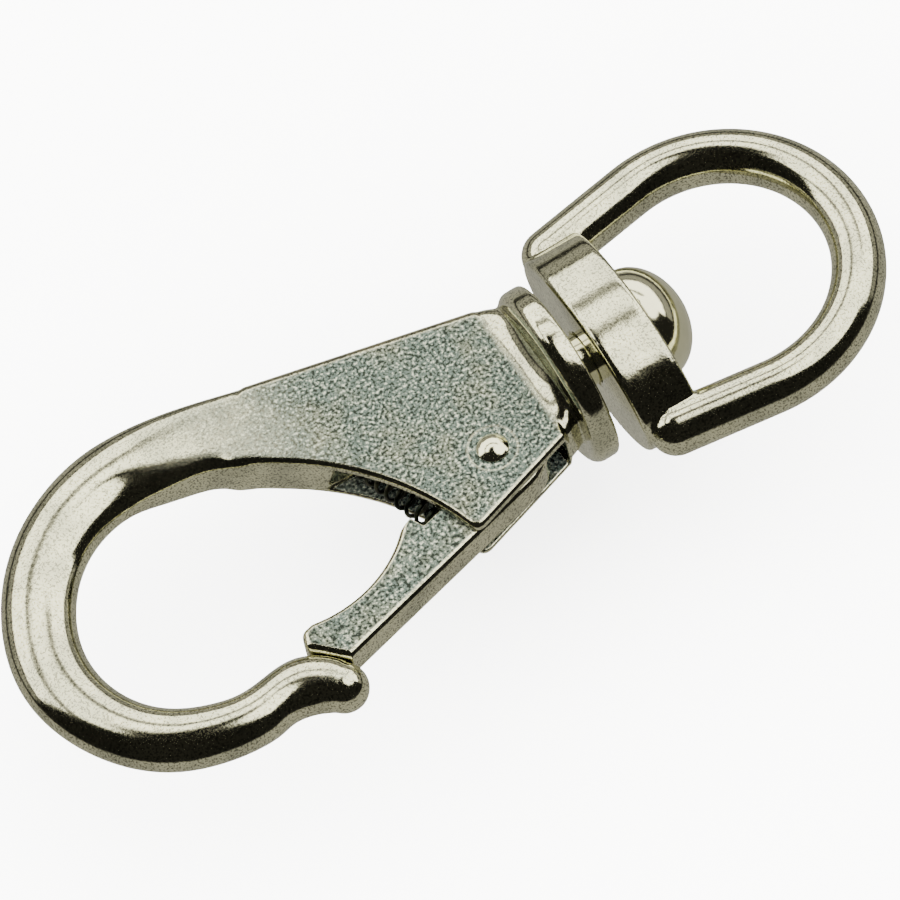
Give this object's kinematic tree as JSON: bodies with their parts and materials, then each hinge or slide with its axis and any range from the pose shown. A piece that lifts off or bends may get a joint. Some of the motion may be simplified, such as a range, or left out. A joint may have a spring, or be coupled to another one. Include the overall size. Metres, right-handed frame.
{
  "type": "swivel-eye snap hook",
  "caption": "Cast hook with a sprung gate on a rivet, joined by a collar and headed stud to a turning eye, for clipping lines, rings and shackles on a boat.",
  "frame": {"origin": "centre of the whole hook's bounding box; the swivel axis runs 0.35 mm to its +Y side", "axes": "+X parallel to the swivel axis from the hook to the eye, +Y across the hook towards its closed spine, +Z square to the flat cheeks"},
  "size_m": [0.105, 0.0433, 0.0207],
  "materials": {
    "cast_steel": "investment-cast stainless steel, tumbled and polished on the bars, fine cast grain on the flat faces",
    "polished_steel": "turned stainless steel, polished",
    "spring_wire": "drawn stainless wire, dull"
  },
  "bodies": {
    "hook": {"hook_body": "cast_steel", "gate_rivet": "polished_steel", "gate_spring": "spring_wire", "swivel_stud": "polished_steel"},
    "gate": {"gate": "cast_steel"},
    "eye": {"swivel_eye": "cast_steel"}
  },
  "joints": [
    {"name": "gate_hinge", "type": "hinge", "parent": "hook", "child": "gate", "pos_m": [0.00342, -0.00497, 0], "axis": [0, 0, -1], "range_deg": [0, 28], "stiffness_Nm_per_rad": 0.2, "springref_deg": -17.19, "deforming": ["gate_spring"]},
    {"name": "eye_swivel", "type": "hinge", "parent": "hook", "child": "eye", "pos_m": [0.0213, 0.00035, 0], "axis": [1, 0, 0], "continuous": true}
  ]
}
